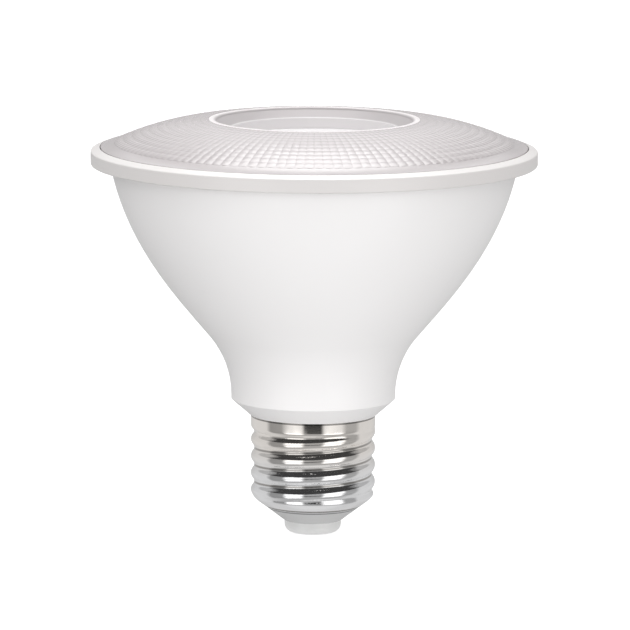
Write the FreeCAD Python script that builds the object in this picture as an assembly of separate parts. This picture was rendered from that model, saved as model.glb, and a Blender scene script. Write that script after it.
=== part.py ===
import FreeCAD, Part
import math
import os

# A reflector lamp with a clear moulded lens, a white housing and a screw cap.
# The origin is the centre of the flat bottom of the centre contact.
# +Z runs up the axis to the lens, and the two sides of the driver board face -Y and +Y.
# Sizes are in millimetres and angles in degrees.

# Clearances
press_gap = 0.05
fit_gap = 0.1
lens_gap = 0.2
solder_gap = 0.15
hole_gap = 0.2

# Centre contact, a pressed cup with a rivet through the insulator
contact_radius = 6.0
contact_flat_radius = 4.2
contact_height = 2.7
contact_sheet = 0.5
rivet_radius = 1.2
rivet_head_radius = 2.0
rivet_head_height = 0.5

# Cap insulator
insulator_foot_margin = 0.2
insulator_brim_margin = 0.15
insulator_cone_height = 3.2
insulator_neck_height = 0.4
insulator_flare_height = 0.9
insulator_plug_height = 1.4

# Screw shell, thin sheet with a rolled knuckle thread
shell_crest_radius = 13.17
shell_lip_turn = 2.67
shell_sheet = 0.3
shell_height = 19.4
shell_lip_height = 3.0
shell_skirt_height = 2.2
thread_pitch = 3.63
thread_depth = 0.7
thread_crest_share = 0.6
thread_crest_height = 12.14
thread_start_height = 1.6
thread_fade_height = 1.6
shell_angle_steps = 48
shell_height_steps = 66

# Housing, a white moulded bowl with a neck and a spigot for the shell
housing_height = 53.65
housing_wall = 1.8
mouth_radius = 42.98
mouth_angle = 10.5
mouth_handle = 17.4
slope_end_offset = 8.89
slope_end_height = 16.87
slope_angle = 40.2
slope_handle = 10.9
neck_bend_radius = 19.9
neck_draft = 1.0
neck_foot_margin = 0.28
neck_foot_height = 3.4
neck_bore_offset = 2.23
neck_bore_height = 9.7
ledge_rise = 2.0
ledge_width = 1.9
spigot_lift = 2.4
spigot_wall = 1.52
collar_height = 1.8
guide_reach = 2.6
guide_wall = 1.3
guide_root = 0.3

# Trim ring, which holds the lens and clips into the housing
ring_overhang = 4.02
ring_face_height = 2.85
ring_land_rise = 0.7
ring_land_width = 1.9
ring_ledge_thickness = 1.25
ring_rebate = 0.4
ring_edge_round = 0.3
skirt_length = 4.0
skirt_wall = 1.0
clip_count = 6
clip_angle = 10.0
clip_depth = 0.5
clip_height = 1.5
clip_drop = 3.3

# Lens, one clear moulding with small pillows on its dome and a well in its middle
lens_edge_height = 2.35
lens_flange_width = 6.1
lens_flange_root = 1.4
band_width = 2.9
band_sag = 0.08
dome_rise = 8.33
dome_radius = 56.0
pillow_columns = 132
pillow_rows = 11
pillow_depth = 0.35
pillow_border = 0.03
well_radius = 20.6
well_lip_drop = 0.55
lip_crest_offset = 0.65
lip_width = 1.35
pillow_start_offset = 1.6
crown_offset = 1.6
well_cone_depth = 2.0
well_cone_width = 3.2
well_wall_depth = 4.2
well_step_width = 1.2
well_floor_offset = 2.7
well_floor_depth = 12.7
centre_lens_margin = 2.0
centre_lens_rise = 3.5
collimator_foot_radius = 9.5
collimator_start_slope = 31.0
cavity_radius = 7.6
cavity_top_radius = 7.0
cavity_depth = 7.3
cavity_lens_drop = 1.3

# Heat sink, an aluminium cup behind the wall of the bowl
sink_sheet = 1.2
sink_floor = 2.0
sink_top_gap = 0.6

# Light source
pad_radius = 15.5
pad_thickness = 0.3
led_board_radius = 17.0
led_board_thickness = 1.5
emitter_side = 13.5
emitter_thickness = 0.7
phosphor_radius = 4.8
phosphor_thickness = 0.35
screw_circle_radius = 13.6
screw_radius = 1.25
screw_head_radius = 2.2
screw_head_height = 1.3
screw_slot_width = 0.7
screw_slot_length = 2.8
screw_slot_depth = 0.6
lead_radius = 0.6
lead_bend = 1.3
lead_side = 5.0
lead_hole_offset = 14.0
lead_hole_radius = 1.2
lead_pad_offset = 11.0
lead_start_drop = 1.5
lead_rise = 0.7

# Driver board and what it carries
driver_thickness = 1.2
driver_side_gap = 0.5
driver_tail_gap = 1.0
driver_height = 15.7
driver_tail_lift = 1.5
core_side_gap = 0.3
core_height = 13.0
core_depth = 5.9
core_leg = 1.6
core_yoke = 1.7
winding_depth = 10.0
winding_gap = 0.15
transformer_height = 7.7
bulk_side_gap = 0.75
bulk_end_gap = 1.0
output_radius = 4.0
output_length = 11.0
output_side = 4.6
output_rise = 2.7
can_groove_depth = 0.35
can_groove_height = 1.6
can_edge_round = 0.5
film_width = 9.0
film_depth = 5.0
film_top_gap = 0.3
film_rise = 7.2
fuse_radius = 1.6
fuse_length = 5.0
fuse_rise = 0.9
inductor_radius = 2.8
inductor_length = 6.0
inductor_flange = 1.0
inductor_waist = 0.7
inductor_margin = 5.3
inductor_rise = 6.2
varistor_radius = 2.85
varistor_thickness = 3.0
varistor_margin = 5.3
varistor_rise = 6.2
bridge_size = (4.7, 1.5, 3.9)
bridge_margin = 9.6
bridge_rise = 4.2
chip_size = (4.9, 1.5, 3.9)
chip_margin = 9.5
chip_rise = 10.0
diode_size = (3.6, 2.2, 2.6)
diode_margin = 4.5
diode_rise = 12.4
live_lead_radius = 0.4
live_lead_bend = 0.8
live_lead_drop = 1.6
live_lead_rise = 1.3
neutral_lead_bend = 1.2
neutral_lead_side = 7.6
neutral_lead_length = 5.5
neutral_lead_rise = 1.3

# Radii that follow from the shell, the contact and the mouth
shell_lip_radius = shell_crest_radius - shell_lip_turn
insulator_foot_radius = contact_radius + insulator_foot_margin
insulator_cone_radius = shell_lip_radius - insulator_brim_margin
insulator_neck_radius = shell_lip_radius - shell_sheet - fit_gap
collar_radius = shell_crest_radius - shell_sheet - press_gap
spigot_radius = shell_crest_radius - thread_depth - shell_sheet - fit_gap
spigot_bore_radius = spigot_radius - spigot_wall
neck_foot_radius = shell_crest_radius + neck_foot_margin
neck_bore_radius = shell_crest_radius + neck_bore_offset
slope_end_radius = shell_crest_radius + slope_end_offset
ring_radius = mouth_radius + ring_overhang
lens_pocket_radius = ring_radius - ring_land_width
lens_radius = lens_pocket_radius - lens_gap
lens_flange_inner_radius = lens_radius - lens_flange_width
pillow_outer_radius = lens_radius - band_width
pillow_inner_radius = well_radius + pillow_start_offset
lip_crest_radius = well_radius + lip_crest_offset
lip_outer_radius = well_radius + lip_width
dome_crown_radius = well_radius - crown_offset
well_wall_radius = well_radius - well_cone_width
well_step_radius = well_wall_radius - well_step_width
well_floor_radius = well_step_radius - well_floor_offset
centre_lens_radius = well_floor_radius - centre_lens_margin

# Places on the driver board, from its faces and its edges
driver_face_y = driver_thickness / 2
driver_half_width = neck_bore_radius - driver_side_gap
inductor_side = driver_half_width - inductor_margin
varistor_side = driver_half_width - varistor_margin
bridge_side = driver_half_width - bridge_margin
chip_side = driver_half_width - chip_margin
diode_side = driver_half_width - diode_margin
core_width = 2 * (inductor_side - inductor_radius - core_side_gap)
bulk_radius = (spigot_bore_radius - driver_face_y - solder_gap - bulk_side_gap) / 2

# Heights up the axis, each from the piece that it stands on
insulator_cone_top_z = contact_height + insulator_cone_height
shell_bottom_z = insulator_cone_top_z + fit_gap
shell_top_z = shell_bottom_z + shell_height
insulator_neck_top_z = insulator_cone_top_z + insulator_neck_height
insulator_flare_top_z = insulator_neck_top_z + insulator_flare_height
insulator_top_z = insulator_flare_top_z + insulator_plug_height
rivet_top_z = insulator_top_z + rivet_head_height
neck_floor_z = shell_top_z + neck_foot_height
neck_bore_top_z = neck_floor_z + neck_bore_height
spigot_bottom_z = insulator_top_z + spigot_lift
driver_top_z = neck_floor_z + driver_height
driver_bottom_z = spigot_bottom_z + driver_tail_lift
housing_top_z = shell_top_z + housing_height
ledge_z = driver_top_z + ledge_rise
slope_end_z = shell_top_z + slope_end_height
ring_bottom_z = housing_top_z - ring_rebate
lens_seat_z = ring_bottom_z + ring_ledge_thickness
ring_face_top_z = ring_bottom_z + ring_face_height
sink_floor_top_z = ledge_z + sink_floor
pad_top_z = sink_floor_top_z + pad_thickness
led_board_top_z = pad_top_z + led_board_thickness
emitter_top_z = led_board_top_z + emitter_thickness
lens_bottom_z = emitter_top_z + lens_gap

origin = FreeCAD.Vector(0, 0, 0)
up = FreeCAD.Vector(0, 0, 1)
side = FreeCAD.Vector(1, 0, 0)
back = FreeCAD.Vector(0, 1, 0)


# Helpers for profiles and simple solids

def at(radius, height):
    return FreeCAD.Vector(radius, 0, height)


def wire_through(points):
    return Part.makePolygon(points).Edges


def closed_profile(points):
    return wire_through(points + [points[0]])


def arc_through(start, middle, end):
    return Part.Arc(start, middle, end).toShape()


def quarter(centre, radius, start_angle, end_angle):
    points = []
    for angle in (start_angle, (start_angle + end_angle) / 2, end_angle):
        turn = math.radians(angle)
        points.append(centre + at(radius * math.cos(turn), radius * math.sin(turn)))
    return arc_through(*points)


def spun(edges):
    profile = Part.Face(Part.Wire(edges))
    return profile.revolve(origin, up, 360)


def slab(bottom, top):
    return Part.makeCylinder(ring_radius, top - bottom, at(0, bottom))


def block(centre_x, centre_y, bottom, width, depth, height):
    corner = FreeCAD.Vector(centre_x - width / 2, centre_y - depth / 2, bottom)
    return Part.makeBox(width, depth, height, corner)


def solid_from(faces, tolerance):
    sewn = Part.makeCompound(faces)
    sewn.sewShape(tolerance)
    solid = Part.makeSolid(sewn.Shells[0])
    if solid.Volume < 0:
        solid.reverse()
    return solid


def lead(points, wire_radius, bend):
    edges = []
    start = points[0]
    for before, corner, after in zip(points, points[1:], points[2:]):
        incoming = (corner - before).normalize()
        outgoing = (after - corner).normalize()
        half_turn = incoming.getAngle(outgoing) / 2
        arc_start = corner - incoming * (bend * math.tan(half_turn))
        arc_end = corner + outgoing * (bend * math.tan(half_turn))
        inward = (outgoing - incoming).normalize()
        arc_middle = corner + inward * (bend / math.cos(half_turn) - bend)
        edges.append(Part.makeLine(start, arc_start))
        edges.append(arc_through(arc_start, arc_middle, arc_end))
        start = arc_end
    edges.append(Part.makeLine(start, points[-1]))
    section = Part.Wire(Part.makeCircle(wire_radius, points[0], points[1] - points[0]))
    return Part.Wire(edges).makePipeShell([section], True, False)


# Cap

def centre_contact():
    corner_radius = contact_radius - contact_flat_radius
    corner = at(contact_flat_radius, corner_radius)
    inner_radius = contact_radius - contact_sheet
    outside = quarter(corner, corner_radius, -90, 0)
    inside = quarter(corner, corner_radius - contact_sheet, 0, -90)
    rim = [
        at(contact_radius, corner_radius),
        at(contact_radius, contact_height),
        at(inner_radius, contact_height),
        at(inner_radius, corner_radius),
    ]
    rivet = [
        at(contact_flat_radius, contact_sheet),
        at(rivet_radius, contact_sheet),
        at(rivet_radius, insulator_top_z),
        at(rivet_head_radius, insulator_top_z),
        at(rivet_head_radius, rivet_top_z),
        at(0, rivet_top_z),
        at(0, 0),
        at(contact_flat_radius, 0),
    ]
    return spun([outside] + wire_through(rim) + [inside] + wire_through(rivet))


def cap_insulator():
    hole_radius = rivet_radius + fit_gap
    plug_radius = shell_outside(insulator_flare_top_z, 0) - shell_sheet - fit_gap
    return spun(closed_profile([
        at(hole_radius, contact_height),
        at(insulator_foot_radius, contact_height),
        at(insulator_cone_radius, insulator_cone_top_z),
        at(insulator_neck_radius, insulator_cone_top_z),
        at(insulator_neck_radius, insulator_neck_top_z),
        at(plug_radius, insulator_flare_top_z),
        at(plug_radius, insulator_top_z),
        at(hole_radius, insulator_top_z),
    ]))


def smooth_step(value):
    share = min(max(value, 0.0), 1.0)
    return share * share * (3 - 2 * share)


def thread_dip(height, angle):
    # A wide crest arc and a narrow root arc meet at the steepest place of the flank
    flank_angle = 2 * math.atan(2 * thread_depth / thread_pitch)
    crest_reach = thread_crest_share * thread_pitch / 2
    crest_arc = crest_reach / math.sin(flank_angle)
    root_arc = (thread_pitch / 2 - crest_reach) / math.sin(flank_angle)
    crest = thread_crest_height + thread_pitch * angle / 360
    offset = (height - crest + thread_pitch / 2) % thread_pitch - thread_pitch / 2
    distance = abs(offset)
    if distance <= crest_reach:
        return crest_arc - math.sqrt(crest_arc ** 2 - distance ** 2)
    to_root = thread_pitch / 2 - distance
    return thread_depth - root_arc + math.sqrt(root_arc ** 2 - to_root ** 2)


def shell_outside(z, angle):
    height = z - shell_bottom_z
    closing = min(height / shell_lip_height, 1.0)
    lip_rise = shell_crest_radius - shell_lip_radius
    wall = shell_lip_radius + lip_rise * math.sin(math.pi / 2 * closing)
    thread_top = shell_height - shell_skirt_height
    fade_in = smooth_step((height - thread_start_height) / thread_fade_height)
    fade_out = smooth_step((thread_top - height) / thread_fade_height)
    return wall - thread_dip(height, angle) * fade_in * fade_out


def shell_surface(inset):
    grid = []
    for turn in range(shell_angle_steps + 1):
        angle = 360 * turn / shell_angle_steps
        direction = math.radians(angle)
        row = []
        for level in range(shell_height_steps + 1):
            z = shell_bottom_z + shell_height * level / shell_height_steps
            radius = shell_outside(z, angle) - inset
            row.append(FreeCAD.Vector(radius * math.cos(direction), radius * math.sin(direction), z))
        grid.append(row)
    surface = Part.BSplineSurface()
    surface.interpolate(grid)
    return surface


def screw_shell():
    outside = shell_surface(0)
    inside = shell_surface(shell_sheet)
    first, last = outside.bounds()[2:]
    faces = [outside.toShape(), inside.toShape()]
    for level in (first, last):
        faces.append(Part.makeRuledSurface(outside.vIso(level).toShape(), inside.vIso(level).toShape()))
    return solid_from(faces, press_gap / 10)


# Housing

def bowl_curve(inset):
    mouth = math.radians(mouth_angle)
    slope = math.radians(slope_angle)
    top = at(mouth_radius - inset / math.cos(mouth), housing_top_z)
    bottom = at(slope_end_radius - inset / math.cos(slope), slope_end_z)
    top_handle = top - at(math.sin(mouth), math.cos(mouth)) * mouth_handle
    bottom_handle = bottom + at(math.sin(slope), math.cos(slope)) * slope_handle
    curve = Part.BezierCurve()
    curve.setPoles([top, top_handle, bottom_handle, bottom])
    return curve


def bowl_radius(z, inset):
    curve = bowl_curve(inset)
    above = 0.0
    below = 1.0
    for halving in range(40):
        middle = (above + below) / 2
        if curve.value(middle).z > z:
            above = middle
        else:
            below = middle
    return curve.value(above).x


def bowl_plug(inset, bottom, top):
    curve = bowl_curve(inset)
    mouth = curve.value(0)
    end = curve.value(1)
    edges = [Part.makeLine(at(0, housing_top_z), mouth), curve.toShape()]
    edges += wire_through([end, at(0, end.z), at(0, housing_top_z)])
    return spun(edges).common(slab(bottom, top))


def housing_outside():
    curve = bowl_curve(0)
    slope = math.radians(slope_angle)
    draft = math.radians(neck_draft)
    bend_centre = curve.value(1) + at(math.cos(slope), -math.sin(slope)) * neck_bend_radius
    bend = quarter(bend_centre, neck_bend_radius, 180 - slope_angle, 180 - neck_draft)
    bend_end = bend_centre - at(math.cos(draft), -math.sin(draft)) * neck_bend_radius
    neck_corner = at(bend_end.x - (bend_end.z - neck_floor_z) * math.tan(draft), neck_floor_z)
    lower = wire_through([
        bend_end,
        neck_corner,
        at(neck_foot_radius, shell_top_z),
        at(collar_radius, shell_top_z),
        at(collar_radius, shell_top_z - collar_height),
        at(spigot_radius, shell_top_z - collar_height),
        at(spigot_radius, spigot_bottom_z),
        at(0, spigot_bottom_z),
        at(0, housing_top_z),
        curve.value(0),
    ])
    return spun([curve.toShape(), bend] + lower)


def neck_cavity():
    ledge_radius = bowl_radius(ledge_z, housing_wall) - ledge_width
    return spun(closed_profile([
        at(0, ledge_z),
        at(ledge_radius, ledge_z),
        at(neck_bore_radius, neck_bore_top_z),
        at(neck_bore_radius, neck_floor_z),
        at(spigot_bore_radius, neck_floor_z),
        at(spigot_bore_radius, spigot_bottom_z),
        at(0, spigot_bottom_z),
    ]))


def board_guides():
    guides = []
    width = guide_reach + guide_root
    centre_x = neck_bore_radius + guide_root - width / 2
    centre_y = driver_face_y + fit_gap + guide_wall / 2
    for x in (-centre_x, centre_x):
        for y in (-centre_y, centre_y):
            guides.append(block(x, y, neck_floor_z, width, guide_wall, neck_bore_height))
    return guides


def clip_band(margin):
    # Profile of a clip on the skirt, or of its pocket with a margin, turned through the clip's angle
    bottom = housing_top_z - clip_drop
    inner = bowl_radius(bottom + clip_height / 2, housing_wall + fit_gap)
    outer = inner + clip_depth + margin
    profile = closed_profile([
        at(inner - skirt_wall / 2, bottom - margin),
        at(outer, bottom - margin + clip_height / 3),
        at(outer, bottom + margin + clip_height * 2 / 3),
        at(inner - skirt_wall / 2, bottom + clip_height + margin),
    ])
    margin_angle = math.degrees(margin / outer)
    band = Part.Face(Part.Wire(profile)).revolve(origin, up, clip_angle + 2 * margin_angle)
    band.rotate(origin, up, -clip_angle / 2 - margin_angle)
    bands = []
    for index in range(clip_count):
        copy = band.copy()
        copy.rotate(origin, up, 360 * index / clip_count)
        bands.append(copy)
    return bands


def housing():
    shape = housing_outside()
    shape = shape.cut(bowl_plug(housing_wall, ledge_z, housing_top_z))
    shape = shape.cut(neck_cavity())
    shape = shape.fuse(board_guides())
    return shape.cut(clip_band(hole_gap))


# Trim ring and lens

def trim_ring():
    skirt_inset = housing_wall + fit_gap
    inner_radius = bowl_curve(skirt_inset + skirt_wall).value(0).x
    ring = spun(closed_profile([
        at(inner_radius, housing_top_z),
        at(mouth_radius + fit_gap, housing_top_z),
        at(mouth_radius + fit_gap, ring_bottom_z),
        at(ring_radius, ring_bottom_z),
        at(ring_radius, ring_face_top_z),
        at(lens_pocket_radius, ring_face_top_z + ring_land_rise),
        at(lens_pocket_radius, lens_seat_z),
        at(inner_radius, lens_seat_z),
    ]))
    outer_edges = [edge for edge in ring.Edges if is_circle(edge, ring_radius)]
    ring = ring.makeFillet(ring_edge_round, outer_edges)
    skirt_bottom = housing_top_z - skirt_length
    skirt = bowl_plug(skirt_inset, skirt_bottom, housing_top_z)
    skirt = skirt.cut(bowl_plug(skirt_inset + skirt_wall, skirt_bottom, housing_top_z))
    return ring.fuse([skirt] + clip_band(0))


def is_circle(edge, radius):
    return isinstance(edge.Curve, Part.Circle) and abs(edge.Curve.Radius - radius) < press_gap


def dome_z(radius):
    drop = dome_radius - math.sqrt(dome_radius ** 2 - (radius - dome_crown_radius) ** 2)
    return lens_seat_z + dome_rise - drop


def on_dome(radius, column, depth):
    angle = 2 * math.pi * column / pillow_columns
    return FreeCAD.Vector(radius * math.cos(angle), radius * math.sin(angle), dome_z(radius) - depth)


def pillow_circle(row):
    pitch = (pillow_outer_radius - pillow_inner_radius) / pillow_rows
    radius = pillow_inner_radius + row * pitch
    return [on_dome(radius, column, pillow_depth) for column in range(pillow_columns + 1)]


def pillow_faces():
    # Each pillow is four flat facets that rise from its corners to its crown
    pitch = (pillow_outer_radius - pillow_inner_radius) / pillow_rows
    faces = []
    for row in range(pillow_rows):
        inner = pillow_circle(row)
        outer = pillow_circle(row + 1)
        crown_radius = pillow_inner_radius + (row + 0.5) * pitch
        for column in range(pillow_columns):
            crown = on_dome(crown_radius, column + 0.5, 0)
            corners = [inner[column], outer[column], outer[column + 1], inner[column + 1]]
            for start, end in zip(corners, corners[1:] + corners[:1]):
                faces.append(Part.Face(Part.makePolygon([start, end, crown, start])))
    return faces


def border_face(row, circle_radius, z):
    polygon = Part.makePolygon(pillow_circle(row))
    circle = Part.Wire(Part.makeCircle(circle_radius, at(0, z)))
    return Part.makeFace([polygon, circle], "Part::FaceMakerBullseye")


def lens_outer_edges(band_start):
    edge_top = at(lens_radius, lens_seat_z + lens_edge_height)
    band_middle = (band_start + edge_top) * 0.5 - at(0, band_sag)
    flange_root = at(lens_flange_inner_radius, lens_seat_z - lens_flange_root)
    foot = at(collimator_foot_radius, lens_bottom_z)
    half_width = (flange_root.x - foot.x) / 2
    rise = half_width * math.tan(math.radians(collimator_start_slope))
    collimator = Part.BezierCurve()
    collimator.setPoles([flange_root, foot + at(half_width, rise), foot])
    cavity_top = at(cavity_top_radius, lens_bottom_z + cavity_depth)
    cavity_far = at(-cavity_top_radius, lens_bottom_z + cavity_depth)
    cavity_peak = at(0, cavity_top.z - cavity_lens_drop)
    cavity_lens = Part.Circle(cavity_top, cavity_peak, cavity_far)
    first = cavity_lens.parameter(cavity_peak)
    last = cavity_lens.parameter(cavity_top)
    edges = [arc_through(band_start, band_middle, edge_top)]
    edges += wire_through([
        edge_top,
        at(lens_radius, lens_seat_z),
        at(lens_flange_inner_radius, lens_seat_z),
        flange_root,
    ])
    edges.append(collimator.toShape())
    edges += wire_through([foot, at(cavity_radius, lens_bottom_z), cavity_top])
    edges.append(Part.ArcOfCircle(cavity_lens, min(first, last), max(first, last)).toShape())
    return edges


def lens_inner_edges(lip_start):
    crest_z = dome_z(lip_crest_radius)
    lip_end = at(well_radius, crest_z - well_lip_drop)
    floor_z = crest_z - well_floor_depth
    centre_edge = at(centre_lens_radius, floor_z)
    centre_far = at(-centre_lens_radius, floor_z)
    centre_peak = at(0, floor_z + centre_lens_rise)
    centre_lens = Part.Circle(centre_edge, centre_peak, centre_far)
    first = centre_lens.parameter(centre_peak)
    last = centre_lens.parameter(centre_edge)
    edges = wire_through([lip_start, at(lip_outer_radius, lip_start.z)])
    edges.append(arc_through(at(lip_outer_radius, lip_start.z), at(lip_crest_radius, crest_z), lip_end))
    edges += wire_through([
        lip_end,
        at(well_wall_radius, crest_z - well_cone_depth),
        at(well_wall_radius, crest_z - well_wall_depth),
        at(well_step_radius, crest_z - well_wall_depth),
        at(well_floor_radius, floor_z),
        centre_edge,
    ])
    edges.append(Part.ArcOfCircle(centre_lens, min(first, last), max(first, last)).toShape())
    return edges


def front_lens():
    outer_z = dome_z(pillow_outer_radius) - pillow_depth
    inner_z = dome_z(pillow_inner_radius) - pillow_depth
    outer_circle = pillow_outer_radius + pillow_border
    inner_circle = pillow_inner_radius * math.cos(math.pi / pillow_columns) - pillow_border
    faces = pillow_faces()
    faces.append(border_face(pillow_rows, outer_circle, outer_z))
    faces.append(border_face(0, inner_circle, inner_z))
    smooth_edges = lens_outer_edges(at(outer_circle, outer_z)) + lens_inner_edges(at(inner_circle, inner_z))
    for edge in smooth_edges:
        faces += edge.revolve(origin, up, 360).Faces
    return solid_from(faces, pillow_border / 30)


# Heat sink and light source

def upright_hole(x, y, radius):
    depth = housing_top_z - spigot_bottom_z
    return Part.makeCylinder(radius, depth, FreeCAD.Vector(x, y, spigot_bottom_z))


def lead_holes(radius):
    return [upright_hole(x, lead_hole_offset, radius) for x in (-lead_side, lead_side)]


def screw_holes(radius):
    return [upright_hole(x, 0, radius) for x in (-screw_circle_radius, screw_circle_radius)]


def heat_sink():
    inset = housing_wall + fit_gap
    top = housing_top_z - skirt_length - sink_top_gap
    cup = bowl_plug(inset, ledge_z, top)
    cup = cup.cut(bowl_plug(inset + sink_sheet, sink_floor_top_z, housing_top_z))
    return cup.cut(lead_holes(lead_hole_radius) + screw_holes(screw_radius + fit_gap))


def thermal_pad():
    pad = Part.makeCylinder(pad_radius, pad_thickness, at(0, sink_floor_top_z))
    return pad.cut(lead_holes(lead_hole_radius) + screw_holes(screw_radius + hole_gap))


def led_board():
    board = Part.makeCylinder(led_board_radius, led_board_thickness, at(0, pad_top_z))
    return board.cut(lead_holes(lead_hole_radius) + screw_holes(screw_radius + hole_gap))


def led_emitter():
    base = block(0, 0, led_board_top_z, emitter_side, emitter_side, emitter_thickness)
    phosphor = Part.makeCylinder(phosphor_radius, phosphor_thickness, at(0, emitter_top_z))
    return base.fuse(phosphor)


def board_screw(x):
    length = led_board_thickness + pad_thickness + sink_floor
    shank = Part.makeCylinder(screw_radius, length, FreeCAD.Vector(x, 0, ledge_z))
    head = Part.makeCylinder(screw_head_radius, screw_head_height, FreeCAD.Vector(x, 0, led_board_top_z))
    slot_z = led_board_top_z + screw_head_height - screw_slot_depth
    slots = [
        block(x, 0, slot_z, screw_slot_length, screw_slot_width, screw_slot_depth),
        block(x, 0, slot_z, screw_slot_width, screw_slot_length, screw_slot_depth),
    ]
    return shank.fuse(head).cut(slots)


def board_screws():
    return Part.makeCompound([board_screw(-screw_circle_radius), board_screw(screw_circle_radius)])


def led_lead(x):
    y = driver_face_y + lead_radius
    board_z = led_board_top_z + solder_gap + lead_radius
    turn_z = driver_top_z + lead_rise
    return lead([
        FreeCAD.Vector(x, y, driver_top_z - lead_start_drop),
        FreeCAD.Vector(x, y, turn_z),
        FreeCAD.Vector(x, lead_hole_offset, turn_z),
        FreeCAD.Vector(x, lead_hole_offset, board_z),
        FreeCAD.Vector(x, lead_pad_offset, board_z),
    ], lead_radius, lead_bend)


def positive_lead():
    return led_lead(lead_side)


def negative_lead():
    return led_lead(-lead_side)


# Driver

def driver_board():
    tail_width = 2 * (spigot_bore_radius - driver_tail_gap)
    tail_length = neck_floor_z - driver_bottom_z
    board = block(0, 0, neck_floor_z, 2 * driver_half_width, driver_thickness, driver_height)
    tail = block(0, 0, driver_bottom_z, tail_width, driver_thickness, tail_length)
    return board.fuse(tail).removeSplitter()


def transformer_y():
    return -driver_face_y - solder_gap - winding_depth / 2


def transformer_core():
    bottom = neck_floor_z + transformer_height - core_height / 2
    core = block(0, transformer_y(), bottom, core_width, core_depth, core_height)
    window_width = (core_width - 4 * core_leg) / 2
    window_height = core_height - 2 * core_yoke
    window_x = core_leg + window_width / 2
    windows = []
    for x in (-window_x, window_x):
        windows.append(block(x, transformer_y(), bottom + core_yoke, window_width, core_depth, window_height))
    return core.cut(windows)


def transformer_winding():
    width = core_width - 2 * core_leg - 2 * winding_gap
    height = core_height - 2 * core_yoke - 2 * winding_gap
    bottom = neck_floor_z + transformer_height - height / 2
    coil = block(0, transformer_y(), bottom, width, winding_depth, height)
    leg_width = 2 * core_leg + 2 * winding_gap
    leg_depth = core_depth + 2 * winding_gap
    upright_edges = [edge for edge in coil.Edges if edge.Length > height - press_gap and is_upright(edge)]
    coil = coil.makeFillet(core_leg, upright_edges)
    return coil.cut(block(0, transformer_y(), bottom, leg_width, leg_depth, height))


def is_upright(edge):
    start, end = [vertex.Point for vertex in edge.Vertexes]
    return abs(start.x - end.x) + abs(start.y - end.y) < press_gap


def capacitor_can(x, bottom, radius, length):
    top = bottom + length
    groove_z = bottom + can_groove_height
    edges = wire_through([
        at(0, top),
        at(0, bottom),
        at(radius, bottom),
        at(radius, groove_z - can_groove_depth),
    ])
    edges.append(arc_through(
        at(radius, groove_z - can_groove_depth),
        at(radius - can_groove_depth, groove_z),
        at(radius, groove_z + can_groove_depth),
    ))
    edges += wire_through([at(radius, groove_z + can_groove_depth), at(radius, top - can_edge_round)])
    edges.append(quarter(at(radius - can_edge_round, top - can_edge_round), can_edge_round, 0, 90))
    edges += wire_through([at(radius - can_edge_round, top), at(0, top)])
    can = spun(edges)
    can.translate(FreeCAD.Vector(x, driver_face_y + solder_gap + radius, 0))
    return can


def bulk_capacitor():
    length = neck_floor_z - driver_bottom_z - 2 * bulk_end_gap
    return capacitor_can(0, driver_bottom_z + bulk_end_gap, bulk_radius, length)


def output_capacitor():
    return capacitor_can(-output_side, neck_floor_z + output_rise, output_radius, output_length)


def film_capacitor():
    y = -driver_face_y - solder_gap - film_depth / 2
    bottom = driver_bottom_z + film_rise
    body = block(0, y, bottom, film_width, film_depth, neck_floor_z - film_top_gap - bottom)
    return body.makeFillet(can_edge_round, body.Edges)


def fuse_y():
    return -driver_face_y - solder_gap - fuse_radius


def fuse_resistor():
    base = FreeCAD.Vector(0, fuse_y(), driver_bottom_z + fuse_rise)
    body = Part.makeCylinder(fuse_radius, fuse_length, base)
    return body.makeFillet(can_edge_round, body.Edges[0::2])


def filter_inductor():
    waist_radius = inductor_radius - inductor_waist
    drum = spun(closed_profile([
        at(0, 0),
        at(inductor_radius, 0),
        at(inductor_radius, inductor_flange),
        at(waist_radius, inductor_flange),
        at(waist_radius, inductor_length - inductor_flange),
        at(inductor_radius, inductor_length - inductor_flange),
        at(inductor_radius, inductor_length),
        at(0, inductor_length),
    ]))
    drum.rotate(origin, side, 90)
    drum.translate(FreeCAD.Vector(-inductor_side, -driver_face_y - solder_gap, neck_floor_z + inductor_rise))
    return drum


def varistor():
    base = FreeCAD.Vector(varistor_side, -driver_face_y - solder_gap, neck_floor_z + varistor_rise)
    disc = Part.makeCylinder(varistor_radius, varistor_thickness, base, back * -1)
    return disc.makeFillet(can_edge_round, [edge for edge in disc.Edges if is_circle(edge, varistor_radius)])


def chip_on_back(x, rise, size):
    width, depth, height = size
    return block(x, driver_face_y + depth / 2, neck_floor_z + rise - height / 2, width, depth, height)


def bridge_rectifier():
    return chip_on_back(bridge_side, bridge_rise, bridge_size)


def driver_chip():
    return chip_on_back(chip_side, chip_rise, chip_size)


def output_diode():
    return chip_on_back(diode_side, diode_rise, diode_size)


def live_lead():
    fuse_end_z = driver_bottom_z + fuse_rise
    return lead([
        FreeCAD.Vector(0, fuse_y(), fuse_end_z),
        FreeCAD.Vector(0, fuse_y(), fuse_end_z - live_lead_drop),
        FreeCAD.Vector(0, 0, rivet_top_z + live_lead_rise),
        FreeCAD.Vector(0, 0, rivet_top_z),
    ], live_lead_radius, live_lead_bend)


def neutral_lead():
    y = -driver_face_y - live_lead_radius
    turn_z = insulator_top_z + neutral_lead_rise
    return lead([
        FreeCAD.Vector(neutral_lead_side, y, turn_z + neutral_lead_length),
        FreeCAD.Vector(neutral_lead_side, y, turn_z),
        FreeCAD.Vector(spigot_radius, y, turn_z),
    ], live_lead_radius, neutral_lead_bend)


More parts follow.
